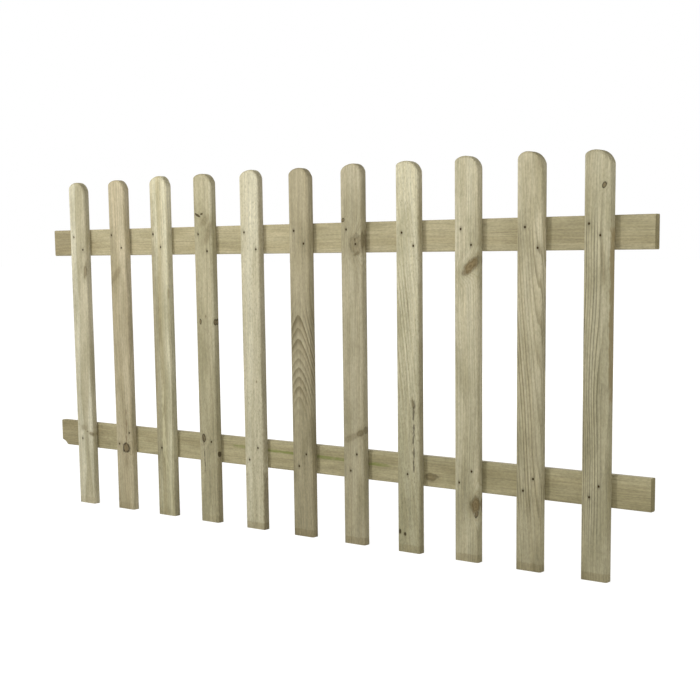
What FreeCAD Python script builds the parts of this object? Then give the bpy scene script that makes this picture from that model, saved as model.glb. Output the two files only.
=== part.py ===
"""Picket fence panel: round-topped pickets nailed across the front of two flat rails.

Millimetres. +X runs along the panel, the front faces -Y and +Z is up.
The origin is the middle of the bottom rail's back face, the plane that lies against the posts.
"""

import FreeCAD
import Part
import math
import os

# Driving dimensions of the rails, two planed boards set on edge
RAIL_LENGTH = 1830.0
RAIL_HEIGHT = 71.0
RAIL_THICKNESS = 20.0
RAIL_EDGE_RADIUS = 3.5
RAIL_SPACING = 538.0

# Bare length of each rail past the outer pickets, which lies on the post
RAIL_END = 88.0

# Driving dimensions of the pickets, planed boards with eased arrises
PICKET_COUNT = 11
PICKET_WIDTH = 62.0
PICKET_THICKNESS = 20.0
PICKET_HEIGHT = 900.0
PICKET_FRONT_RADIUS = 5.0
PICKET_BACK_RADIUS = 2.5
FOOT_BELOW_RAIL = 157.0

# The break at the lower left corner of the bottom rail
BREAK_LENGTH = 21.0
BREAK_HEIGHT = 14.5
BREAK_HOLLOW = 3.0

# Places worked out from the driving dimensions
FIRST_PICKET_X = -RAIL_LENGTH / 2 + RAIL_END + PICKET_WIDTH / 2
PITCH = -2 * FIRST_PICKET_X / (PICKET_COUNT - 1)
RAIL_FRONT_Y = -RAIL_THICKNESS
FOOT_Z = -RAIL_HEIGHT / 2 - FOOT_BELOW_RAIL


def point(x, y, z):
    """Short name for a vector."""
    return FreeCAD.Vector(x, y, z)


def rounded_section(width, depth, front_radius, back_radius):
    """Board section in XY, centred on X, with its back on Y = 0 and its front at -depth."""
    half = width / 2
    corners = [
        (half, 0.0, back_radius, 0),
        (-half, 0.0, back_radius, 90),
        (-half, -depth, front_radius, 180),
        (half, -depth, front_radius, 270),
    ]
    edges = []
    starts = []
    ends = []
    for x, y, radius, angle in corners:
        centre = point(x - math.copysign(radius, x), y - radius if y == 0.0 else y + radius, 0)
        circle = Part.Circle(centre, point(0, 0, 1), radius)
        arc = Part.Arc(circle, math.radians(angle), math.radians(angle + 90))
        edges.append(arc.toShape())
        starts.append(arc.StartPoint)
        ends.append(arc.EndPoint)
    for i, end in enumerate(ends):
        edges.append(Part.LineSegment(end, starts[(i + 1) % len(starts)]).toShape())
    return Part.Face(Part.Wire(Part.__sortEdges__(edges)))


def arch_outline():
    """Front elevation of a picket in XZ, foot on Z = 0, its top a half round as wide as the board."""
    half = PICKET_WIDTH / 2
    spring_z = PICKET_HEIGHT - half
    right_foot = point(half, 0, 0)
    left_foot = point(-half, 0, 0)
    right_spring = point(half, 0, spring_z)
    left_spring = point(-half, 0, spring_z)
    crown = point(0, 0, PICKET_HEIGHT)
    curves = [
        Part.LineSegment(left_foot, right_foot),
        Part.LineSegment(right_foot, right_spring),
        Part.Arc(right_spring, crown, left_spring),
        Part.LineSegment(left_spring, left_foot),
    ]
    return Part.Face(Part.Wire([curve.toShape() for curve in curves]))


def picket():
    """One picket standing on Z = 0 with its back on Y = 0: a moulded board, its top cut to a half round."""
    section = rounded_section(PICKET_WIDTH, PICKET_THICKNESS, PICKET_FRONT_RADIUS, PICKET_BACK_RADIUS)
    board = section.extrude(point(0, 0, PICKET_HEIGHT))
    outline = arch_outline().extrude(point(0, -PICKET_THICKNESS, 0))
    return board.common(outline).Solids[0]


def rail():
    """One rail centred on X and Z, with its back on Y = 0."""
    section = rounded_section(RAIL_HEIGHT, RAIL_THICKNESS, RAIL_EDGE_RADIUS, RAIL_EDGE_RADIUS)
    board = section.extrude(point(0, 0, RAIL_LENGTH))
    board.translate(point(0, 0, -RAIL_LENGTH / 2))
    board.rotate(point(0, 0, 0), point(0, 1, 0), 90)
    return board


def corner_break():
    """The piece missing from the bottom rail: a hollow break across its lower left corner."""
    left = -RAIL_LENGTH / 2
    low = -RAIL_HEIGHT / 2
    upper = point(left, 0, low + BREAK_HEIGHT)
    lower = point(left + BREAK_LENGTH, 0, low)
    slope = math.hypot(BREAK_LENGTH, BREAK_HEIGHT)
    middle = (upper + lower) * 0.5
    inward = point(BREAK_HEIGHT / slope, 0, BREAK_LENGTH / slope)
    corner = point(left, 0, low)
    curves = [
        Part.Arc(upper, middle + inward * BREAK_HOLLOW, lower),
        Part.LineSegment(lower, corner),
        Part.LineSegment(corner, upper),
    ]
    face = Part.Face(Part.Wire([curve.toShape() for curve in curves]))
    return face.extrude(point(0, -RAIL_THICKNESS, 0))


def build():
    """Every piece of the panel by name, in place."""
    pieces = {}
    pieces["bottom_rail"] = rail().cut(corner_break()).Solids[0]
    top_rail = rail()
    top_rail.translate(point(0, 0, RAIL_SPACING))
    pieces["top_rail"] = top_rail
    for i in range(PICKET_COUNT):
        board = picket()
        board.translate(point(FIRST_PICKET_X + i * PITCH, RAIL_FRONT_Y, FOOT_Z))
        pieces[f"picket_{i + 1:02d}"] = board
    return pieces


def main():
    """Write one STEP file for each piece."""
    os.makedirs("parts", exist_ok=True)
    for name, shape in build().items():
        shape.exportStep(os.path.join("parts", f"{name}.step"))


main()
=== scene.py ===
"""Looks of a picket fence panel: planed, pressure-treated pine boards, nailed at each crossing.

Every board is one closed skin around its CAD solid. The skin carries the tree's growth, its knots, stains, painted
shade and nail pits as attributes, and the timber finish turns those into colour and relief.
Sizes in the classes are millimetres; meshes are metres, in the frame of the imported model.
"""

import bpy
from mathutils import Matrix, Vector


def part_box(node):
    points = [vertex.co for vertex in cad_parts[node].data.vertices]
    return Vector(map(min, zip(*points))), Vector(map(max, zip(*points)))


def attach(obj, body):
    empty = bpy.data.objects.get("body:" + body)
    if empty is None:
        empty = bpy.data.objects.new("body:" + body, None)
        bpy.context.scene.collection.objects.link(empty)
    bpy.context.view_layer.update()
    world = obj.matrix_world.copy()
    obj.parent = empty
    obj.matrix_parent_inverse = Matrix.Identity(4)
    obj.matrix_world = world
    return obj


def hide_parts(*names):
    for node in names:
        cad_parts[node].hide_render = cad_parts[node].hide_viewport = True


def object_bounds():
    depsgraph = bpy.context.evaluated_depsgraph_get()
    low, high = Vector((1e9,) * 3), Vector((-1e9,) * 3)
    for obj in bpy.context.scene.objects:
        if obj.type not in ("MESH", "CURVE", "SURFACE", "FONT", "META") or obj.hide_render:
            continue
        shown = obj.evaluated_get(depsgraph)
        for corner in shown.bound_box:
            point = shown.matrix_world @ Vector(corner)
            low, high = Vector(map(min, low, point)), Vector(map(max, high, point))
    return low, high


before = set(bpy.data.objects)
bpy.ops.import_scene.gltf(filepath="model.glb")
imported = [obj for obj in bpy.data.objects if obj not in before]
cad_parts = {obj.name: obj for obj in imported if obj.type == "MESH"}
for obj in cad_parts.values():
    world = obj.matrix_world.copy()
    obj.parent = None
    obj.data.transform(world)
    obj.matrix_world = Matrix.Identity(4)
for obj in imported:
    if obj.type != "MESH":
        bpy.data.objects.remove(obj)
CAD_BOX = [list(corner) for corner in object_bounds()]

import logging
import math
from dataclasses import dataclass
from enum import Enum
from functools import partial
from typing import ClassVar, NamedTuple

import bpy
import numpy as np
from bpy.types import ID, Material, NodeSocket, NodeTree, Object
from mathutils import Matrix

Array = np.ndarray
Triple = tuple[float, float, float]

MM = 0.001
# Farther from a stained line than any place on a board, in mm
FAR = 60.0
# Grid lines keep about this far apart, in mm
NEAR = 0.45
# Faces that meet at more than this angle show an edge
EDGE = math.radians(38)
# Kinds of node, and settings for them: a product, a product and a sum, a smooth step, paint and a tint
MATH, STEP, MIX = "Math", "MapRange", "Mix"
TIMES = {"operation": "MULTIPLY"}
SLOPE = {"operation": "MULTIPLY_ADD"}
EASE = {"interpolation_type": "SMOOTHSTEP"}
PAINT = {"out": 2, "data_type": "RGBA"}
GLAZE = {"out": 2, "data_type": "RGBA", "blend_type": "MULTIPLY"}
LOG = logging.getLogger("fence")


def srgb(code: str) -> tuple[float, float, float, float]:
    """Turn an sRGB hex colour into the linear one that shaders take.

    Args:
        code: colour as "#RRGGBB".

    Returns:
        Linear red, green, blue and an alpha of 1.
    """
    parts = [int(code[i : i + 2], 16) / 255 for i in (1, 3, 5)]
    linear = [p / 12.92 if p <= 0.04045 else ((p + 0.055) / 1.055) ** 2.4 for p in parts]
    return (*linear, 1.0)


def add(
    tree: NodeTree, kind: str, feeds: tuple | dict = (), out: int | str = 0, **settings: object
) -> NodeSocket | None:
    """Add a node with its settings, and fill its sockets with values or links.

    Args:
        tree: node tree to add to.
        kind: node type, less the ShaderNode that all of them start with.
        feeds: values or outputs for its inputs, in order, or by socket name or number.
        out: the output that is wanted.
        settings: properties of the node.

    Returns:
        That output, or None where the node has none.
    """
    made = tree.nodes.new(f"ShaderNode{kind}")
    for key, value in settings.items():
        setattr(made, key, value)
    for key, value in (feeds if isinstance(feeds, dict) else dict(enumerate(feeds))).items():
        if isinstance(value, NodeSocket):
            tree.links.new(value, made.inputs[key])
        else:
            made.inputs[key].default_value = value
    return made.outputs[out] if made.outputs else None


def blank(name: str) -> tuple[Material, NodeTree]:
    """Make a material with no nodes.

    Args:
        name: its name.

    Returns:
        The material and its node tree.
    """
    made = bpy.data.materials.new(name)
    made.use_nodes = True
    made.node_tree.nodes.clear()
    return made, made.node_tree


def stand(name: str, data: ID) -> Object:
    """Put a new object into the scene, at the origin.

    Args:
        name: its name.
        data: its mesh, lamp or camera.

    Returns:
        The object.
    """
    piece = bpy.data.objects.new(name, data)
    bpy.context.scene.collection.objects.link(piece)
    return piece


def surface(name: str, points: Array, faces: list) -> Object:
    """Put a smooth surface into the scene, with hard edges where its faces turn sharply.

    Args:
        name: its name.
        points: its vertices in metres.
        faces: vertex numbers of each face.

    Returns:
        The object.
    """
    mesh = bpy.data.meshes.new(name)
    mesh.from_pydata(points, [], faces)
    mesh.shade_smooth()
    mesh.set_sharp_from_angle(angle=EDGE)
    return stand(name, mesh)


def grid_lines(low: float, high: float, step: float, marks: list[Triple]) -> Array:
    """Lines of a grid: even ones, and closer ones around each mark, which keep to whole steps of NEAR.

    Args:
        low: first line.
        high: last line.
        step: spacing away from the marks.
        marks: places that need closer lines, how far those go to each side, and their spacing.

    Returns:
        Sorted line positions, from low to high.
    """
    even = np.linspace(low, high, max(2, round((high - low) / step) + 1))
    close = np.concatenate([[], *(place + np.arange(-reach, reach + fine / 2, fine) for place, reach, fine in marks)])
    close = np.unique(np.round(close / NEAR)) * NEAR
    close = close[(close > low + NEAR) & (close < high - NEAR)]
    away = np.abs(even[:, None] - close[None, :]).min(1) if close.size else np.full(even.size, FAR)
    return np.sort(np.concatenate([even[(away > NEAR) | (even == low) | (even == high)], close]))


class Places(NamedTuple):
    """Places on a board in mm: across its face from the middle, back from its front, and along its fibres."""

    across: Array
    depth: Array
    along: Array


class KnotLook(NamedTuple):
    """How a knot shows: its height over the face in mm, and its brownness, cover and dark rim from 0 to 1."""

    height: float
    brown: float
    cover: float
    rim: float


class KnotKind(Enum):
    """What became of a branch, or what else has discoloured the wood, and painted shade on some pickets' side faces."""

    LIVE = KnotLook(0.2, 0.85, 0.88, 0.25)
    RINGED = KnotLook(0.15, 0.6, 0.75, 0.9)
    DEAD = KnotLook(-0.45, 0.0, 0.95, 0.6)
    SPIKE = KnotLook(0.1, 0.6, 0.6, 0.3)
    FAINT = KnotLook(0.1, 0.9, 0.35, 0.28)
    SHADE = KnotLook(0.0, 0.5, 0.32, 0.0)
    DARK = KnotLook(0.0, 0.35, 0.6, 0.0)


# Discoloured wood with no branch in it, and painted shade on the right side faces of some pickets
FLAT = (KnotKind.SHADE, KnotKind.DARK)


@dataclass(frozen=True)
class Knot:
    """A branch cut through by the board, or a flat patch with no branch: an oval on the face.

    across and along place its middle; wide and tall are its half sizes; lean turns it, in degrees.
    """

    across: float
    along: float
    wide: float
    tall: float
    kind: KnotKind
    lean: float = 0.0

    def radius(self, at: Places) -> Array:
        """Distance from the middle of the oval, as a share of its own edge: 1 is the edge.

        Args:
            at: places on the board.

        Returns:
            The share at each place.
        """
        turn = math.radians(self.lean)
        x, y = at.across - self.across, at.along - self.along
        u = x * math.cos(turn) + y * math.sin(turn)
        v = y * math.cos(turn) - x * math.sin(turn)
        return np.hypot(u / self.wide, v / self.tall)


@dataclass(frozen=True)
class Streak:
    """A stained line along the grain, from low to high, in mm; it drifts sideways on its way."""

    # How much of the way past an end counts as distance
    PAST: ClassVar[float] = 0.1

    across: float
    low: float
    high: float
    drift: float = 0.0

    def distance(self, at: Places) -> Array:
        """Distance in mm from the line; past its ends only a part of the way counts, so it tapers off.

        Args:
            at: places on the board.

        Returns:
            The distance at each place.
        """
        share = (at.along - self.low) / (self.high - self.low)
        beyond = np.maximum(np.maximum(self.low - at.along, at.along - self.high), 0.0)
        return np.hypot(at.across - self.across - self.drift * share, beyond * self.PAST)


@dataclass(frozen=True)
class Growth:
    """Where the board lay in the trunk: the pith's place from the board's middle front, its bends and lean.

    swell is a stretch where the trunk thickened: from, to, and by how many mm. The rings show well in a zone along
    the board, and left of an edge.
    """

    # The long and the short wave that the pith wanders by: their lengths in mm over 2 pi, and the short one's height
    SWAY: ClassVar[Triple] = (143.0, 57.0, 0.45)
    NOD: ClassVar[Triple] = (191.0, 71.0, 0.4)
    # Over how many mm the rings fade at the ends of the zone and at the edge, and how much of them is left
    FADE: ClassVar[Triple] = (50.0, 12.0, 0.25)

    across: float
    behind: float
    taper: float
    bend: float
    seed: int
    lean: float = 0.0
    swell: Triple = (0.0, 1.0, 0.0)
    zone: tuple[float, float] = (-500.0, 3000.0)
    edge: float = 99.0

    def radius(self, at: Places) -> Array:
        """Distance from the pith, which leans and wanders in slow waves, plus the trunk's taper along the board.

        A swell adds its height by the smooth step 3x^2 - 2x^3 between its ends.

        Args:
            at: places on the board.

        Returns:
            Age of the wood at each place, as millimetres of growth.
        """
        turn = np.random.default_rng(self.seed).uniform(0, 2 * math.pi, 4)
        sway, nod = (
            np.sin(at.along / long + first) + height * np.sin(at.along / short + second)
            for (long, short, height), (first, second) in zip((self.SWAY, self.NOD), turn.reshape(2, 2))
        )
        low, high, rise = self.swell
        step = np.clip((at.along - low) / (high - low), 0, 1)
        aside = at.across - self.across - self.lean * at.along - self.bend * sway
        out = np.hypot(aside, at.depth - self.behind - self.bend * nod)
        return out + self.taper * at.along + rise * step**2 * (3 - 2 * step)

    def show(self, at: Places) -> Array:
        """How well the rings show: 1 in the zone and left of the edge, with straight slopes down to what is left.

        Args:
            at: places on the board.

        Returns:
            The share at each place.
        """
        zone_fade, edge_fade, least = self.FADE
        inside = np.minimum(at.along - self.zone[0], self.zone[1] - at.along) / zone_fade
        left = (self.edge - at.across) / edge_fade
        return least + (1 - least) * np.clip(0.5 + np.minimum(inside, left), 0, 1)


@dataclass(frozen=True)
class Section:
    """A planed board's section: width across, depth from front to back, and eased arrises."""

    width: float
    depth: float
    front_ease: float
    back_ease: float

    def outline(self, flats: Array, arc: int, sides: int) -> tuple[Array, Array, int, int]:
        """The section as a closed loop that splits at the middle of each eased arris.

        Each quarter round is centre + ease * (sin t, -cos t), so its normal is (sin t, -cos t). The front row
        runs from the middle of one arris to the middle of the next, and so do the side columns and the back row.

        Args:
            flats: lines on the flat of the front face, ends left out.
            arc: steps on half of an arris.
            sides: steps on the flat of a side.

        Returns:
            Points (across, depth), their normals, the points in a row and the points in a column.
        """
        half, front, back = self.width / 2, self.front_ease, self.back_ease
        first = np.linspace(0, math.pi / 4, arc + 1)
        second = np.linspace(math.pi / 4, math.pi / 2, arc + 1)
        turn_f = np.column_stack([np.sin(first), -np.cos(first)])
        turn_s = np.column_stack([np.sin(second), -np.cos(second)])
        level = np.repeat([[0.0, -1.0]], flats.size, 0)
        front_n = np.vstack([turn_f[::-1] * [-1, 1], level, turn_f])
        front_p = np.vstack([
            turn_f[::-1] * [-front, front] + [front - half, front],
            np.column_stack([flats, np.zeros(flats.size)]),
            turn_f * front + [half - front, front],
        ])
        rows = np.linspace(front, self.depth - back, sides + 1)[1:-1]
        side_n = np.vstack([turn_s, np.repeat([[1.0, 0.0]], rows.size, 0), turn_s[::-1] * [1, -1]])
        side_p = np.vstack([
            turn_s * front + [half - front, front],
            np.column_stack([np.full(rows.size, half), rows]),
            turn_s[::-1] * [back, -back] + [half - back, self.depth - back],
        ])
        back_flats = flats * (half - back) / (half - front)
        back_n = front_n * [1, -1]
        back_p = np.vstack([
            turn_f[::-1] * [-back, -back] + [back - half, self.depth - back],
            np.column_stack([back_flats, np.full(flats.size, self.depth)]),
            turn_f * [back, -back] + [half - back, self.depth - back],
        ])
        points = np.vstack([front_p, side_p[1:-1], back_p[::-1], (side_p * [-1, 1])[-2:0:-1]])
        normals = np.vstack([front_n, side_n[1:-1], back_n[::-1], (side_n * [-1, 1])[-2:0:-1]])
        return points, normals, front_p.shape[0], side_p.shape[0]


def cap_grid(loop: Array, n: int, m: int) -> tuple[Array, Array]:
    """Fill a section's loop with an n by m grid: the Coons patch of its four sides.

    The patch is the sum of the two straight blends between opposite sides, less the blend of the corners.

    Args:
        loop: points of the closed loop.
        n: points in the front row.
        m: points in a side column.

    Returns:
        Inner points, row by row, and the n by m table of vertex numbers, inner ones after the loop's.
    """
    front, right = loop[:n], loop[n - 1 : n + m - 1]
    back = loop[n + m - 2 : 2 * n + m - 2][::-1]
    left = np.vstack([loop[0], loop[:-(m - 1) : -1][: m - 2], loop[2 * n + m - 3]])
    u = ((front[:, 0] - front[0, 0]) / (front[-1, 0] - front[0, 0]))[:, None, None]
    v = ((right[:, 1] - right[0, 1]) / (right[-1, 1] - right[0, 1]))[None, :, None]
    blend = (1 - v) * front[:, None] + v * back[:, None] + (1 - u) * left[None] + u * right[None]
    corners = (1 - u) * (1 - v) * front[0] + u * (1 - v) * front[-1] + (1 - u) * v * back[0] + u * v * back[-1]
    inner = (blend - corners)[1:-1, 1:-1].reshape(-1, 2)
    count = loop.shape[0]
    table = np.zeros((n, m), int)
    table[:, 0] = np.arange(n)
    table[-1, :] = np.arange(n - 1, n + m - 1)
    table[:, -1] = np.arange(n + m - 2, 2 * n + m - 2)[::-1]
    table[0, 1:-1] = np.arange(count - 1, count - m + 1, -1)
    table[1:-1, 1:-1] = count + np.arange((n - 2) * (m - 2)).reshape(n - 2, m - 2)
    return inner, table


def tube_faces(table: Array, count: int, rows: int) -> Array:
    """Faces of a closed tube: bands from loop to loop, and both ends.

    Args:
        table: vertex numbers of the first end, as cap_grid gives them.
        count: points in a loop.
        rows: loops along the tube; the points inside the first end and then the last end come after them.

    Returns:
        Four vertex numbers for each face, all turned outwards.
    """
    ring = np.arange(count)
    ahead = np.roll(ring, -1)
    base = np.arange(rows - 1)[:, None] * count
    sides = np.stack([base + ring, base + ahead, base + count + ahead, base + count + ring], -1).reshape(-1, 4)
    beyond = table + (rows - 1) * count
    first = np.where(table < count, table, beyond)
    last = np.where(table < count, beyond, beyond + table.size - count)
    caps = [np.stack([g[:-1, :-1], g[1:, :-1], g[1:, 1:], g[:-1, 1:]], -1).reshape(-1, 4) for g in (first, last)]
    return np.vstack([sides, caps[0][:, ::-1], caps[1]])


@dataclass(frozen=True)
class TreatedPine:
    """Planed, pressure-treated pine: matt and dry, greenish tan, with broad pale growth and brown late lines.

    The eye reads rings cut by the face as lines and arches, dark knots, soft green and grey clouds from the
    treatment, fibre lines and planer grit, and darker end grain. Real fibres are finer than a millimetre; here
    they are drawn 2 to 3 mm wide, because finer ones would not show.
    """

    # Sizes in mm across and along the fibres, and detail, of each noise
    NOISES: ClassVar[dict[str, Triple]] = {
        "waver": (14, 150, 2), "cloud": (45, 160, 3), "fibre": (2.8, 110, 3), "grit": (3.2, 7.5, 2),
        "fleck": (2.8, 7, 2), "ragged": (6, 11, 2), "broken": (5, 18, 3),
    }
    # Colours that lie over the wood or tint it; the pit's near black is iron stain with painted shade in the recess
    TINTS: ClassVar[dict[str, str]] = {
        "band": "#c2b187", "treatment": "#aeac92", "fleck": "#6f6748", "halo": "#837a56",
        "dead heart": "#8d8270", "live heart": "#d2c0a4", "knot ring": "#a3947c", "rim": "#3a3020",
        "dip": "#b3a27a", "end grain": "#a8a284", "nail stain": "#4d4733", "pit": "#241b0f",
    }
    # Where each smooth step starts and ends: in its noise, in shares of a year or of a knot's radius, or in mm
    RAMPS: ClassVar[dict[str, tuple[float, float]]] = {
        "late end": (0.92, 1.0), "band": (0.40, 0.62), "treatment": (0.38, 0.68), "fleck": (0.56, 0.68),
        "halo": (0.6, 2.2), "heart": (0.6, 1.25), "rim start": (0.6, 0.9), "rim end": (0.95, 1.25),
        "dip": (19.5, 22.5), "pit": (0.2, 0.55),
    }

    # ring, waver and band_width are mm; early and full are where in a year the late wood starts and is darkest
    name: str
    pale: str
    late: str
    ring: float = 6.0
    waver: float = 2.4
    early: float = 0.45
    full: float = 0.88
    contrast: float = 0.4
    fibre: float = 0.7
    grit: float = 0.55
    flecks: float = 0.15
    clouds: float = 0.4
    bands: float = 0.15
    band_width: float = 13.0
    ragged: float = 0.9
    damp: float = 0.3
    # painted light: how much lighter a board's far end is, as the light falls off along it
    bleach: float = 0.27
    end_grain: float = 0.6
    stain: str = "#43392a"
    stain_width: float = 2.2
    stain_break: float = 11.0
    runs_up: bool = True

    def material(self) -> Material:
        """Make the finish, from the board's attributes and its own coordinates.

        Returns:
            The material.
        """
        made, tree = blank(self.name)
        put = partial(add, tree)
        tint, ramp = {name: srgb(code) for name, code in self.TINTS.items()}, self.RAMPS
        place = put("TexCoord", out="Object")
        traits = ("growth", "show", "along", "share", "knot", "brown", "cover", "rim", "streak", "pit", "smear", "end")
        at = {trait: put("Attribute", out="Fac", attribute_name=trait) for trait in traits}
        for name, (across, along, detail) in self.NOISES.items():
            cross, length = 1 / (across * MM), 1 / (along * MM)
            scale = (cross, cross, length) if self.runs_up else (length, cross, cross)
            spread = put("VectorMath", (place, scale), **TIMES)
            at[name] = put("TexNoise", {"Vector": spread, "Scale": 1.0, "Detail": detail})

        # Rings: age in mm, wavering a little, counted in years; no two years are equally dark
        age = put(MATH, (at["waver"], self.waver, at["growth"]), **SLOPE)
        years = put(MATH, (age, self.ring), operation="DIVIDE")
        season = put(MATH, (years,), operation="FRACT")
        year = put(MATH, (years,), operation="FLOOR")
        each = put("TexWhiteNoise", {"W": year}, noise_dimensions="1D")
        each = put(MATH, (each, 0.6, 0.4), **SLOPE)
        rise = put(STEP, (season, self.early, self.full), **EASE)
        fall = put(STEP, (season, *ramp["late end"], 1.0, 0.0), **EASE)
        late = put(MATH, (rise, fall), **TIMES)
        late = put(MATH, (late, each), **TIMES)
        late = put(MATH, (late, at["show"]), **TIMES)

        # Coats over the pale wood, each with its share and its way: first the late wood
        coats = [(put(MATH, (late, self.contrast), **TIMES), srgb(self.late), PAINT)]

        # Broad bands of tan along the rings, then grey-green clouds of the treatment
        broad = put(MATH, (age, self.band_width), operation="DIVIDE")
        broad = put("TexNoise", {"W": broad, "Scale": 1.0, "Detail": 1.0}, noise_dimensions="1D")
        coats.append((put(STEP, (broad, *ramp["band"], 0.0, self.bands), **EASE), tint["band"], GLAZE))
        share = put(STEP, (at["cloud"], *ramp["treatment"], 0.0, self.clouds), **EASE)
        coats.append((share, tint["treatment"], GLAZE))

        # Fibre lines, grit left by the planer, and flecks
        tone = put(MATH, (at["fibre"], self.fibre, 1.0 - 0.5 * (self.fibre + self.grit)), **SLOPE)
        tone = put(MATH, (at["grit"], self.grit, tone), **SLOPE)
        coats.append((1.0, put("CombineColor", (tone, tone, tone)), GLAZE))
        coats.append((put(STEP, (at["fleck"], *ramp["fleck"], 0.0, self.flecks), **EASE), tint["fleck"], PAINT))

        # Knots: a soft halo, two close rings inside, and a dark rim where the branch was dead
        wander = put(MATH, (at["ragged"], self.ragged, -0.5 * self.ragged), **SLOPE)
        wander = put(MATH, (at["knot"], wander), operation="ADD")
        halo = put(STEP, (wander, *ramp["halo"], 0.5, 0.0), **EASE)
        coats.append((put(MATH, (halo, at["cover"]), **TIMES), tint["halo"], PAINT))
        heart = put(MIX, {0: at["brown"], 6: tint["dead heart"], 7: tint["live heart"]}, **PAINT)
        close = put(MATH, (wander, 13.0), **TIMES)
        close = put(MATH, (close,), operation="SINE")
        close = put(MATH, (close, 0.3, 0.3), **SLOPE)
        heart = put(MIX, {0: close, 6: heart, 7: tint["knot ring"]}, **GLAZE)
        inside = put(STEP, (wander, *ramp["heart"], 1.0, 0.0), **EASE)
        coats.append((put(MATH, (inside, at["cover"]), **TIMES), heart, GLAZE))
        rise = put(STEP, (wander, *ramp["rim start"]), **EASE)
        fall = put(STEP, (wander, *ramp["rim end"], 1.0, 0.0), **EASE)
        edge = put(MATH, (rise, fall), **TIMES)
        coats.append((put(MATH, (edge, at["rim"]), **TIMES), tint["rim"], PAINT))

        # Stained lines, broken along their length
        shake = put(MATH, (at["broken"], self.stain_break, -0.45 * self.stain_break), **SLOPE)
        line = put(MATH, (at["streak"], shake), operation="ADD")
        share = put(STEP, (line, 0.3 * self.stain_width, 1.4 * self.stain_width, 0.75, 0.0), **EASE)
        coats.append((share, srgb(self.stain), PAINT))

        # Painted light: one end of a board is lighter than the other, as the light falls off along it, so a picket is
        # lighter at its top and a rail darker towards its right end; a picket's foot has been dipped
        warm = put(MATH, (at["share"], self.bleach, 0.98 - 0.5 * self.bleach), **SLOPE)
        cold = put(MATH, (at["share"], 1.2 * self.bleach, 0.98 - 0.6 * self.bleach), **SLOPE)
        coats.append((1.0, put("CombineColor", (warm, warm, cold)), GLAZE))
        if self.runs_up:
            level = put(MATH, (at["ragged"], 6.0, at["along"]), **SLOPE)
            coats.append((put(STEP, (level, *ramp["dip"], self.damp, 0.0), **EASE), tint["dip"], GLAZE))

        # End grain drinks more; a nail stains the wood round it, and its pit is nearly black: iron stain, with painted
        # shade in the recess
        coats.append((put(MATH, (at["end"], self.end_grain), **TIMES), tint["end grain"], GLAZE))
        coats.append((at["smear"], tint["nail stain"], PAINT))
        coats.append((put(STEP, (at["pit"], *ramp["pit"]), **EASE), tint["pit"], PAINT))
        colour = srgb(self.pale)
        for share, tone, way in coats:
            colour = put(MIX, {0: share, 6: colour, 7: tone}, **way)

        # Fibres stand up and late wood has sunk, by parts of a millimetre; late wood is a little less matt
        height = put(MATH, (at["fibre"], 0.5), **TIMES)
        height = put(MATH, (late, -0.6, height), **SLOPE)
        bump = put("Bump", {"Strength": 0.35, "Distance": 0.6 * MM, "Height": height})
        rough = put(MATH, (late, -0.08, 0.82), **SLOPE)
        looks = {"Base Color": colour, "Roughness": rough, "Normal": bump, "IOR": 1.5, "Specular IOR Level": 0.25}
        put("OutputMaterial", (put("BsdfPrincipled", looks),))
        return made


@dataclass(frozen=True)
class NailSteel:
    """Bright wire nails gone dull in wet treated timber: dark brown and matt, with hardly a glint."""

    name: str = "dulled_wire_nail_steel"
    clean: str = "#4a3818"
    rusty: str = "#38270d"
    spots_in_metre: float = 900.0

    def material(self) -> Material:
        """Make the finish: rust in spots of about a millimetre.

        Returns:
            The material.
        """
        made, tree = blank(self.name)
        place = add(tree, "TexCoord", out="Object")
        spots = add(tree, "TexNoise", {"Vector": place, "Scale": self.spots_in_metre, "Detail": 3.0})
        colour = add(tree, MIX, {0: spots, 6: srgb(self.clean), 7: srgb(self.rusty)}, **PAINT)
        looks = {"Base Color": colour, "Metallic": 0.1, "Roughness": 0.75, "Specular IOR Level": 0.15}
        add(tree, "OutputMaterial", (add(tree, "BsdfPrincipled", looks),))
        return made


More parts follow.
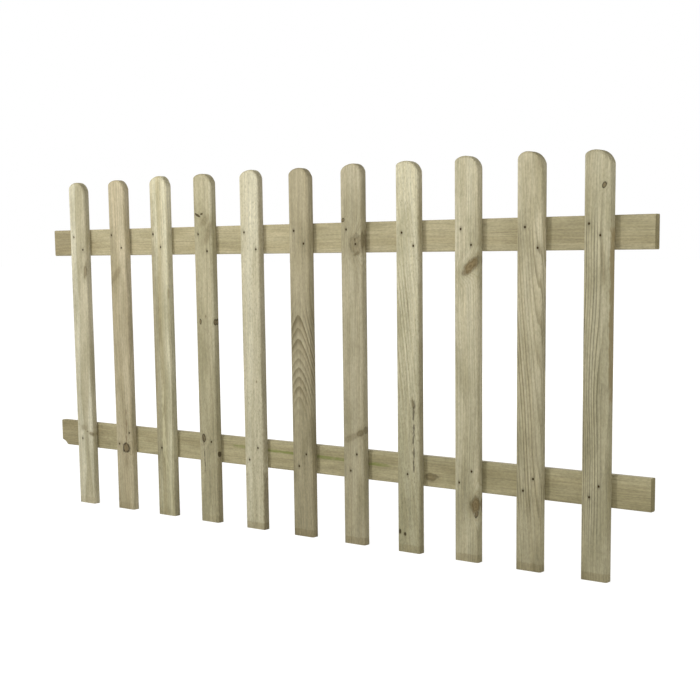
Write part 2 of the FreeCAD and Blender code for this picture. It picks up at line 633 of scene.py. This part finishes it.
@dataclass
class Board:
    """One board of the panel: its node in the frame, its section, how it grew and what marks it.

    nails are places across and along the face. end_zone is how much of each end stretches to meet its cut, and fibre
    is the axis that the fibres follow: 0 for X, 2 for Z.
    """

    # Lines round a nail, in mm, and round a knot, in shares of its half size: how far they reach, and their spacing
    NAIL_LINES: ClassVar[tuple[float, float]] = (3.5, 0.7)
    KNOT_LINES: ClassVar[tuple[float, float]] = (1.5, 0.25)
    # A knot pushes the rings out: by how much for each mm of half width, up to which half width, and how far round it
    PUSH: ClassVar[Triple] = (2.2, 12.0, 1.7)
    # A nail's stain: its strength, and its spread in mm across and along
    SMEAR: ClassVar[Triple] = (0.55, 3.4, 6.0)
    # Planer waves: height in mm, then length along and across in mm over 2 pi
    WAVES: ClassVar[tuple[Triple, ...]] = ((0.08, 37.0, 11.0), (0.06, 91.0, -17.0))
    # Share of a knot's radius from which no knot counts
    CLEAR: ClassVar[float] = 4.0

    node: str
    slot: str
    section: Section
    growth: Growth
    finish: TreatedPine
    knots: tuple[Knot, ...] = ()
    streaks: tuple[Streak, ...] = ()
    nails: tuple[tuple[float, float], ...] = ()
    step: float = 5.0
    pit_radius: float = 2.2
    pit_depth: float = 1.5
    end_zone: float = 30.0
    arris_steps: int = 3
    side_steps: int = 6
    fibre: int = 0

    def __post_init__(self) -> None:
        """Read the board's place from its CAD node."""
        low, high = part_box(self.node)
        self.low, self.high = np.array(low) / MM, np.array(high) / MM

    def length(self) -> float:
        """Length along the fibres."""
        raise NotImplementedError

    def ends(self, across: Array, depth: Array) -> tuple[Array, Array]:
        """Where the fibres at these places start and stop along the board."""
        raise NotImplementedError

    def place(self, at: Places) -> Array:
        """Points of the frame, in metres, for places on the board."""
        raise NotImplementedError

    def fields(self, at: Places) -> dict[str, Array]:
        """Growth, knots, stains and painted shade at each place of the board.

        Growth is the distance from the pith, pushed outwards round each knot by a bell curve of its share of
        radius. The knot field is the least share of radius over all knots.

        Args:
            at: places on the board.

        Returns:
            Attribute name to its value at each place.
        """
        age = self.growth.radius(at)
        push, widest, spread = self.PUSH
        near = np.full_like(at.across, self.CLEAR)
        looks = np.zeros((3, at.across.size))
        for knot in self.knots:
            share = knot.radius(self.unrolled(at))
            if knot.kind not in FLAT:
                age = age + push * min(knot.wide, widest) * np.exp(-((share / spread) ** 2))
            looks = np.where(share < near, np.array(knot.kind.value[1:])[:, None], looks)
            near = np.minimum(near, share)
        line = np.full_like(at.across, FAR)
        for streak in self.streaks:
            line = np.minimum(line, streak.distance(at))
        smear = np.zeros_like(at.across)
        strength, wide, tall = self.SMEAR
        for a, s in self.nails:
            stain = strength * np.exp(-(((at.across - a) / wide) ** 2) - ((at.along - s) / tall) ** 2)
            smear = np.maximum(smear, stain)
        return {
            "growth": age,
            "show": self.growth.show(at),
            "along": at.along,
            "share": at.along / self.length(),
            "knot": near,
            "brown": looks[0],
            "cover": looks[1],
            "rim": looks[2],
            "streak": line,
            "smear": np.where(at.depth < self.section.front_ease, smear, 0.0),
        }

    def unrolled(self, at: Places) -> Places:
        """Places with across carried on round the arris, onto the side and back again behind, so that knots wrap."""
        back = np.minimum(at.depth, self.section.depth - at.depth)
        return at._replace(across=at.across + np.sign(at.across) * back)

    def pits(self, at: Places) -> Array:
        """How deep the nails sink the face, from 0 to 1: flat-bottomed wells, 1 / (1 + (r / radius)^8).

        Args:
            at: places on the board.

        Returns:
            The depth at each place.
        """
        sunk = np.zeros_like(at.across)
        for a, s in self.nails:
            r = np.hypot(at.across - a, at.along - s) / self.pit_radius
            sunk = np.maximum(sunk, 1 / (1 + r**8))
        return sunk

    def relief(self, at: Places) -> Array:
        """Height of the face: slow planer waves, and knots that stand proud or have shrunk, as exp(-share^4).

        Args:
            at: places on the board.

        Returns:
            The height at each place in mm.
        """
        height = sum(high * np.sin(at.along / far + at.across / wide) for high, far, wide in self.WAVES)
        for knot in self.knots:
            height = height + knot.kind.value.height * np.exp(-(knot.radius(at) ** 4))
        return height

    def lines(self, axis: int, low: float, high: float) -> Array:
        """Grid lines of the board, closer at its nails and branches.

        Args:
            axis: 0 for lines placed across the board, 1 for lines placed along it.
            low: first line.
            high: last line.

        Returns:
            Sorted line positions.
        """
        reach, fine = self.KNOT_LINES
        marks = [(nail[axis], *self.NAIL_LINES) for nail in self.nails]
        for knot in self.knots:
            if knot.kind not in FLAT:
                place, half = ((knot.across, knot.wide), (knot.along, knot.tall))[axis]
                marks.append((place, reach * half, fine * half))
        return grid_lines(low, high, self.step, marks)

    def build(self) -> Object:
        """Carry the section along the board, close both ends, and store the fields.

        The skin is section(u) + t * length(v): each point of the loop runs along its own fibre from its start to its
        end. Only the zones near the ends stretch, so lines elsewhere stay square. Pits fade round the arris, and relief
        into the ends, by a fourth power. End grain is the part of a face's normal that lies along the fibres.

        Returns:
            The board's object.
        """
        sec, total, zone = self.section, self.length(), self.end_zone
        flat = sec.width / 2 - sec.front_ease
        loop, normal, n, m = sec.outline(self.lines(0, -flat, flat)[1:-1], self.arris_steps, self.side_steps)
        stations = self.lines(1, 0, total)
        start, stop = self.ends(loop[:, 0], loop[:, 1])
        low = np.clip(1 - stations / zone, 0, 1)[None, :]
        high = np.clip(1 - (total - stations) / zone, 0, 1)[None, :]
        along = stations[None, :] + low * start[:, None] + high * (stop[:, None] - total)
        across = np.repeat(loop[:, :1], stations.size, 1)
        depth = np.repeat(loop[:, 1:], stations.size, 1)
        at = Places(across, depth, along)
        sunk = self.pits(at) * np.clip(-normal[:, 1:], 0, 1) ** 4
        flush = 1 - np.clip(low + high, 0, 1) ** 4
        shift = self.relief(at) * np.abs(normal[:, 1:]) * flush - self.pit_depth * sunk
        across, depth = across + normal[:, :1] * shift, depth + normal[:, 1:] * shift

        inner, table = cap_grid(loop, n, m)
        at = Places(
            np.concatenate([across.T.ravel(), inner[:, 0], inner[:, 0]]),
            np.concatenate([depth.T.ravel(), inner[:, 1], inner[:, 1]]),
            np.concatenate([along.T.ravel(), *self.ends(inner[:, 0], inner[:, 1])]),
        )
        faces = tube_faces(table, loop.shape[0], stations.size)
        piece = surface(f"{self.node}_board", self.place(at), faces.tolist())

        mesh = piece.data
        fields = self.fields(at)
        fields["pit"] = np.concatenate([sunk.T.ravel(), np.zeros(2 * inner.shape[0])])
        for name, values in fields.items():
            mesh.attributes.new(name, "FLOAT", "POINT").data.foreach_set("value", values.astype(np.float32))
        lie = np.empty(3 * len(faces), np.float32)
        mesh.polygons.foreach_get("normal", lie)
        mesh.attributes.new("end", "FLOAT", "FACE").data.foreach_set("value", np.abs(lie[self.fibre :: 3]))
        return piece

    def dress(self, piece: Object) -> None:
        """Give the board its finish, and let it stand for its CAD node.

        Args:
            piece: the board's object.
        """
        piece.data.materials.append(self.finish.material())
        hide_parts(self.node)
        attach(piece, "root")


@dataclass
class Picket(Board):
    """An upright board with a round top, cut by eye and eased along its front arris.

    extra is how much longer it was cut. cut gives its top: the crown's place from the middle, and how far the round
    falls to the left edge and to the right edge.
    """

    end_zone: float = 70.0
    fibre: int = 2
    top_ease: float = 5.0
    extra: float = 0.0
    cut: Triple = (0.0, 31.0, 31.0)

    def length(self) -> float:
        """Height from foot to crown, with the little that this one was cut longer or shorter."""
        return float(self.high[2] - self.low[2]) + self.extra

    def ends(self, across: Array, depth: Array) -> tuple[Array, Array]:
        """Fibres start at the square foot and stop at the round top: a quarter ellipse each side of the crown.

        With t from 0 at the crown to 1 at an edge, the round lies fall * (1 - sqrt(1 - t^2)) below the crown. Its
        front arris is a quarter round as on the sides: there the whole outline is set in by
        ease - sqrt(ease^2 - (ease - depth)^2).

        Args:
            across: places across the board.
            depth: places back from its front face.

        Returns:
            Start and stop along the board.
        """
        crown, left, right = self.cut
        half, ease = self.section.width / 2, self.top_ease
        inset = ease - np.sqrt(np.maximum(ease**2 - np.maximum(ease - depth, 0) ** 2, 0))
        t = np.abs(across - crown) / (np.where(across < crown, half + crown, half - crown) - inset)
        fall = np.where(across < crown, left, right) - inset
        drop = inset + fall * (1 - np.sqrt(np.maximum(1 - t**2, 0)))
        return np.zeros(across.shape), self.length() - drop

    def place(self, at: Places) -> Array:
        """Across is X from the picket's middle, depth is Y from its front, along is Z from its foot."""
        middle = (self.low[0] + self.high[0]) / 2
        return np.column_stack([middle + at.across, self.low[1] + at.depth, self.low[2] + at.along]) * MM


@dataclass
class Rail(Board):
    """A level board; its lower left corner may be broken off along a hollow curve."""

    # Waves of splinters on the break: length in mm, then turns in radians for each mm back and up, and at the start
    SPLINTERS: ClassVar[tuple[tuple[float, ...], ...]] = ((0.9, 1.9, 0.7, 0.0), (0.7, 0.8, -1.3, 1.0))

    broken_length: float = 0.0
    broken_height: float = 0.0
    broken_hollow: float = 0.0

    def length(self) -> float:
        """Length from end to end."""
        return float(self.high[0] - self.low[0])

    def ends(self, across: Array, depth: Array) -> tuple[Array, Array]:
        """Fibres run from end to end, and start late where the corner is broken.

        The break is the circle through both ends of its slope and a point set in from the slope's middle, with
        splinters a millimetre or so long.

        Args:
            across: places down from the board's middle.
            depth: places back from its front face.

        Returns:
            Start and stop along the board.
        """
        start = np.zeros(across.shape)
        stop = np.full(across.shape, self.length())
        if self.broken_height:
            up = self.section.width / 2 - across
            slope = math.hypot(self.broken_length, self.broken_height)
            radius = (slope**2 / 4 + self.broken_hollow**2) / (2 * self.broken_hollow)
            out = radius - self.broken_hollow
            centre_x = self.broken_length / 2 - out * self.broken_height / slope
            centre_h = self.broken_height / 2 - out * self.broken_length / slope
            curve = centre_x + np.sqrt(np.maximum(radius**2 - (up - centre_h) ** 2, 0))
            splinter = sum(size * np.sin(depth * b + up * u + turn) for size, b, u, turn in self.SPLINTERS)
            start = np.where(up < self.broken_height, np.maximum(curve + splinter, 0), start)
        return start, stop

    def place(self, at: Places) -> Array:
        """Across is down from the rail's middle, depth is Y from its front, along is X from its left end."""
        middle = (self.low[2] + self.high[2]) / 2
        return np.column_stack([self.low[0] + at.along, self.low[1] + at.depth, middle - at.across]) * MM


@dataclass
class Nails:
    """Every nail of the panel: a flat wire head, punched just under the face of its picket."""

    pickets: list[Picket]
    radius: float = 1.9
    sunk: float = 0.9
    dome: float = 0.25
    thick: float = 0.35
    sides: int = 12

    def build(self) -> Object:
        """Turn one head's profile about its own line, and set a copy in every pit.

        Returns:
            The object with all the heads.
        """
        # The profile, from near the dome's tip over the rim to the underside
        across = np.array([0.55, 0.9, 1.0, 0.6]) * self.radius
        depth = np.array([-0.8 * self.dome, -0.25 * self.dome, self.thick, self.thick])
        size, last = self.sides, across.size - 1
        turns = np.linspace(0, 2 * math.pi, size, endpoint=False)
        ring = np.stack([np.cos(turns), np.zeros(size), np.sin(turns)], -1)
        rings = across[:, None, None] * ring + depth[:, None, None] * np.array([0, 1, 0])
        head = np.vstack([rings.reshape(-1, 3), [[0, -self.dome, 0], [0, self.thick, 0]]])

        k = np.arange(size)
        ahead = (k + 1) % size
        tip, base = np.full(size, len(head) - 2), np.full(size, len(head) - 1)
        low = np.arange(last)[:, None] * size
        bands = np.stack([low + k, low + size + k, low + size + ahead, low + ahead], -1).reshape(-1, 4)
        under = last * size
        fans = np.vstack([np.column_stack([tip, k, ahead]), np.column_stack([base, under + ahead, under + k])])
        spots = []
        for picket in self.pickets:
            a, s = np.array(picket.nails).T
            spots.append(picket.place(Places(a, np.full(a.size, self.sunk), s)) / MM)
        spots = np.vstack(spots)
        verts = (spots[:, None] + head[None]).reshape(-1, 3) * MM
        offsets = np.arange(len(spots))[:, None, None] * len(head)
        faces = [(part[None] + offsets).reshape(-1, part.shape[1]).tolist() for part in (fans, bands)]
        return surface("nails", verts, faces[0] + faces[1])

    def dress(self, piece: Object) -> None:
        """Give the heads their steel."""
        piece.data.materials.append(NailSteel().material())
        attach(piece, "root")


@dataclass(frozen=True)
class SoftBox:
    """A soft box: where it hangs, the point it faces, its width and height, all in metres, and its watts."""

    name: str
    place: Triple
    aim: Triple
    wide: float
    high: float
    power: float

    def hang(self) -> None:
        """Hang it: its axes are the line back from its aim, the level line across that one, and their product."""
        data = bpy.data.lights.new(self.name, "AREA")
        data.shape, data.size, data.size_y, data.energy = "RECTANGLE", self.wide, self.high, self.power
        back = np.array(self.place) - np.array(self.aim)
        side = np.cross([0, 0, 1], back)
        side, back = side / np.linalg.norm(side), back / np.linalg.norm(back)
        matrix = np.eye(4)
        matrix[:3] = np.column_stack([side, np.cross(back, side), back, self.place])
        piece = stand(self.name, data)
        piece.matrix_world = Matrix(matrix)
        piece.visible_camera = False


@dataclass
class Studio:
    """Pale floor, soft boxes in front on the left, above, on the right and behind, and the camera.

    The camera's place, lens and film are in mm, its turn, tip and roll in degrees, and its sight in metres. paper is
    the floor's grey, and lit is how far glow takes its place for the camera: from one distance to another, in metres,
    and its strength at each. fill is the strength of the light from all round.
    """

    # Middle of the panel, in metres
    MIDDLE: ClassVar[Triple] = (0.0, 0.0, 0.25)

    eye: Triple = (2093.3, -2545.4, 508.1)
    turn: Triple = (37.802, -7.453, 0.712)
    lens: float = 69.05
    film: float = 36.0
    shift_up: float = 0.1086
    sight: float = 200.0
    paper: float = 0.9
    lit: float = 0.7
    glow: tuple[float, float, float, float] = (1.0, 6.0, 1.26, 1.45)
    floor_half: float = 60.0
    fill: float = 0.24
    boxes: tuple[SoftBox, ...] = (
        SoftBox("key", (-2.15, -4.2, 2.4), MIDDLE, 0.6, 0.6, 103.0),
        SoftBox("top", (-0.35, -0.85, 1.5), (-0.05, 0.0, 0.5), 2.8, 0.4, 13.0),
        SoftBox("right", (4.4, -1.0, 0.9), MIDDLE, 1.5, 1.5, 52.0),
        SoftBox("back", (-2.0, 4.2, 2.2), MIDDLE, 1.2, 1.2, 105.0),
    )

    def seen(self, tree: NodeTree) -> NodeSocket:
        """1 where the camera looks, straight or through gloss and glass, and 0 for light that falls on the panel.

        Args:
            tree: node tree to add to.

        Returns:
            That share.
        """
        straight = add(tree, "LightPath", out="Is Camera Ray")
        path = straight.node.outputs
        either = add(tree, MATH, (straight, path["Is Glossy Ray"]), operation="MAXIMUM")
        return add(tree, MATH, (either, path["Is Transmission Ray"]), operation="MAXIMUM")

    def floor(self, level: float) -> None:
        """Lay a white floor at this height; it keeps the shadow, and the camera sees it near white.

        Args:
            level: height in metres.
        """
        made, tree = blank("white_paper_floor")
        share = add(tree, MATH, (self.seen(tree), self.lit), **TIMES)
        paper = add(tree, "BsdfDiffuse", {"Color": (self.paper, self.paper, self.paper, 1)})
        place = add(tree, "TexCoord", out="Object")
        away = add(tree, "VectorMath", (place,), 1, operation="LENGTH")
        strength = add(tree, STEP, (away, *self.glow))
        glow = add(tree, "Emission", {"Color": (1, 1, 1, 1), "Strength": strength})
        add(tree, "OutputMaterial", (add(tree, "MixShader", (share, paper, glow)),))
        corners = np.array([[-1, -1, 0], [1, -1, 0], [1, 1, 0], [-1, 1, 0]]) * self.floor_half + [0, 0, level]
        piece = surface("floor", corners, [(0, 1, 2, 3)])
        piece.data.materials.append(made)

    def sky(self) -> None:
        """Fill light from all round, white to the camera."""
        world = bpy.data.worlds.new("studio")
        bpy.context.scene.world = world
        world.use_nodes = True
        tree = world.node_tree
        tree.nodes.clear()
        fill = add(tree, "Background", {"Color": srgb("#fdfcff"), "Strength": self.fill})
        white = add(tree, "Background", {"Color": (1, 1, 1, 1), "Strength": 1.0})
        mixed = add(tree, "MixShader", (self.seen(tree), fill, white))
        add(tree, "OutputWorld", (mixed,))

    def camera(self) -> None:
        """Stand the camera where the photograph was taken.

        It is turned about Z, tipped about X and rolled about its line of sight, which starts out along Y.
        """
        data = bpy.data.cameras.new("camera")
        data.sensor_fit, data.sensor_width, data.lens = "HORIZONTAL", self.film, self.lens
        data.shift_y, data.clip_end = self.shift_up, self.sight
        piece = stand("camera", data)
        yaw, pitch, roll = (math.radians(x) for x in self.turn)
        spin = Matrix.Rotation(yaw, 4, "Z") @ Matrix.Rotation(pitch, 4, "X") @ Matrix.Rotation(roll, 4, "Y")
        level = Matrix.Rotation(math.pi / 2, 4, "X")
        piece.matrix_world = Matrix.Translation([x * MM for x in self.eye]) @ spin @ level
        bpy.context.scene.camera = piece


PICKET_SECTION = Section(62.0, 20.0, 5.0, 2.5)
RAIL_SECTION = Section(71.0, 20.0, 3.5, 3.5)


def picket(
    number: int, growth: Growth, pale: str, late: str, nails: tuple, knots: tuple = (), streaks: tuple = (),
    extra: float = 0.0, cut: Triple = (0.0, 31.0, 31.0), **look: float | str,
) -> Picket:
    """One picket by number from the left, with its own timber.

    Args:
        number: place in the row.
        growth: how the board lay in its tree.
        pale: colour of the early wood.
        late: colour of the late wood.
        nails: nail places from its middle and foot.
        knots: its knots.
        streaks: its stained lines.
        extra: how much longer it was cut.
        cut: crown and falls of its round top.
        look: other values of the finish.

    Returns:
        The picket.
    """
    node = f"picket_{number:02d}"
    finish = TreatedPine(f"treated_pine_{node}", pale, late, **look)
    return Picket(node, "picket_softwood", PICKET_SECTION, growth, finish, knots, streaks, nails, extra=extra, cut=cut)


def pickets() -> list[Picket]:
    """The row of pickets from left to right.

    Returns:
        Every picket, with the marks that tell it from its neighbours.
    """
    live, ringed, dead, spike, faint, shade, dark = KnotKind
    # Flat patches at across 41 on pickets 3, 4, 5 and 8 are painted shade on the right side face: low on pickets 3 and
    # 4, and along the whole side of pickets 5 and 8
    return [
        picket(1, Growth(10, 60, 0.006, 2.5, 1), "#ccc6ab", "#a39976", ((-15, 746), (20, 711), (-10, 184)),
            (Knot(-4, 216, 12, 8, shade), Knot(10, 206, 8, 2.5, dark, -32), Knot(28, 199, 12, 5, dark, -12),
            Knot(27, 652, 7, 22, dark, -6)),
            bands=0.3, bleach=0.1, damp=0.12, extra=-5.5, cut=(-2.0, 18.0, 36.0)),
        picket(2, Growth(-34, 40, 0.012, 3.0, 2), "#baaf90", "#8b8362", ((-22, 749), (15, 715), (22, 213), (-18, 180)),
            (Knot(9, 170, 12.5, 13.5, ringed, -15), Knot(10, 140, 7, 22, shade), Knot(-8, 642, 9, 32, shade, -40)),
            (Streak(11, 185, 260, 1),), stain="#7f6a4c", damp=0.12, extra=-5.0, cut=(-1.0, 14.0, 36.0)),
        picket(3, Growth(38, 40, -0.010, 3.0, 3, 0.02), "#c9c3a4", "#979170", ((-21, 749), (6, 715), (-12, 182)),
            (Knot(30, 593, 4, 14, shade), Knot(-26, 430, 22, 420, shade), Knot(41, 60, 11, 110, shade)),
            (Streak(-6, 190, 330, 5), Streak(3, 140, 250, -3), Streak(24, 10, 130, -12)), bands=0.4, bleach=0.42,
            damp=0.12, stain="#cec7a2", stain_width=4.0, stain_break=13.0, extra=-1.0, cut=(3.0, 20.0, 36.0)),
        picket(4, Growth(-6, 48, 0.010, 2.5, 4), "#b4ad8e", "#877f5f", ((-16, 746), (14, 703), (12, 212)),
            (Knot(-16, 794, 11, 2.8, dead, -26), Knot(-2, 797, 4.5, 2.4, dead, 10), Knot(8, 780, 10, 17, shade, -45),
            Knot(22, 752, 10, 34, shade, -20), Knot(-15, 523, 3.5, 6.5, ringed), Knot(37, 523, 6, 7, ringed),
            Knot(4, 537, 2, 3, spike), Knot(-14, 220, 6, 10, ringed), Knot(40, 180, 6, 8, dead),
            Knot(41, 80, 11, 120, shade)),
            (Streak(-12, 150, 212, -3),), flecks=0.25, damp=0.12, extra=-2.0, cut=(-3.0, 12.0, 32.0)),
        picket(5, Growth(22, 85, 0.004, 2.0, 5), "#cac4a8", "#a89e7b", ((-17, 748), (21, 706), (14, 209), (-15, 177)),
            (Knot(41, 30, 11, 150, dark), Knot(41, 520, 11, 480, shade), Knot(14, 377, 2, 2.5, spike)),
            flecks=0.3, contrast=0.2, clouds=0.25, bleach=0.22, extra=0.5, cut=(4.0, 19.0, 31.0)),
        picket(6, Growth(-6, -28, 0.02, 2.0, 6, 0.0, (230, 620, 68), (338, 558)), "#a79e80", "#73694d",
            ((-15, 749), (15, 718), (13, 206), (-10, 175)), contrast=0.92, ring=6.5, early=0.1, bleach=0.36,
            extra=-2.0, cut=(0.0, 17.0, 34.0)),
        picket(7, Growth(-60, 30, 0.004, 2.0, 7), "#b1a98c", "#867d5f", ((-14, 749), (13, 715), (10, 219), (-9, 178)),
            (Knot(-23, 771, 5.5, 4, ringed, 40), Knot(35, 722, 8, 24, dark), Knot(15, 713, 17, 24, faint, 10),
            Knot(12, 723, 3, 10, dead), Knot(17, 693, 12, 4, dark, 20),
            Knot(-6, 258, 24, 8, shade, 22), Knot(22, 270, 16, 8, dark, 24), Knot(39, 277, 6, 8, spike)),
            ring=4.5, extra=0.5, cut=(4.5, 20.0, 27.0)),
        picket(8, Growth(-48, 30, 0.004, 2.0, 8, -0.12, zone=(350, 650), edge=6), "#c1bb9c", "#948c6a",
            ((-14, 739), (18, 709), (-2, 185)),
            (Knot(-25, 48, 3.5, 5, dead), Knot(-10, 43, 3, 4, dead), Knot(15, 349, 3.5, 11, spike, 12),
            Knot(41, 430, 9, 640, shade)),
            (Streak(16, 205, 340, 1),), flecks=0.3, contrast=0.9, ring=8.0, bleach=0.48,
            stain_width=3.2, stain_break=17.0, extra=-1.0, cut=(-4.0, 10.0, 33.0)),
        picket(9, Growth(-50, 40, -0.006, 2.5, 9), "#c0b99b", "#978e6b", ((-14, 744), (13, 709), (14, 207), (-19, 179)),
            (Knot(13, 664, 11, 27, live, -50), Knot(26, 132, 14, 20, live, -10), Knot(28, 112, 5, 8.5, ringed, -20)),
            ring=5.0, extra=2.0, cut=(-4.5, 13.0, 34.0)),
        picket(10, Growth(27, 14, -0.07, 2.0, 10, zone=(130, 740)), "#bab293", "#82795a",
            ((-11, 745), (20, 701), (12, 205), (-13, 177)), contrast=0.95, ring=6.5, bleach=0.36, extra=3.5,
            cut=(-8.0, 17.0, 36.0)),
        picket(11, Growth(24, 28, 0.006, 4.0, 11, zone=(100, 760), edge=10), "#b5ae8f", "#5f583c",
            ((-19, 749), (7, 725), (10, 204), (-12, 179)),
            (Knot(15, 826, 4.5, 7, ringed, -28), Knot(14, 668, 5, 46, shade, 4)), (Streak(31, 400, 720, 0),),
            contrast=0.88, ring=4.4, stain="#877852", stain_width=2.6, stain_break=9.0, extra=-1.5,
            cut=(-8.0, 11.0, 36.0)),
    ]


def rails() -> list[Rail]:
    """Both rails.

    Returns:
        The bottom rail with its broken corner and green stain, and the top rail.
    """
    low = TreatedPine(
        "treated_pine_bottom_rail", "#b0a783", "#847b56", fibre=0.8, ring=5.0, contrast=0.25, clouds=0.3, bleach=-0.1,
        stain="#75803a", stain_width=4.5, stain_break=5.0, runs_up=False,
    )
    high = TreatedPine(
        "treated_pine_top_rail", "#b9af8c", "#948b65", fibre=0.8, ring=5.0, contrast=0.25, clouds=0.3, bleach=-0.15,
        runs_up=False,
    )
    return [
        Rail("bottom_rail", "rail_softwood", RAIL_SECTION, Growth(16, 44, 0.004, 2.5, 21), low,
            (Knot(12, 1284, 9, 16, KnotKind.SPIKE), Knot(0, 60, 50, 150, KnotKind.SHADE)),
            (Streak(-12, 700, 1130, 8),), step=6.0, broken_length=21.0, broken_height=14.5, broken_hollow=3.0),
        Rail("top_rail", "rail_softwood", RAIL_SECTION, Growth(-24, 38, 0.003, 2.5, 22), high,
            (Knot(0, 40, 50, 140, KnotKind.SHADE),), step=6.0),
    ]


def main() -> None:
    """Build and dress every piece, then the studio."""
    logging.basicConfig(level=logging.INFO, format="%(message)s")
    row = pickets()
    for part in [*rails(), *row, Nails(row)]:
        piece = part.build()
        part.dress(piece)
        LOG.info("%s: %d faces", piece.name, len(piece.data.polygons))
    studio = Studio()
    studio.floor(CAD_BOX[0][2])
    studio.sky()
    for box in studio.boxes:
        box.hang()
    studio.camera()
    bpy.context.scene.view_settings.view_transform = "Standard"


if __name__ == "__main__":
    main()
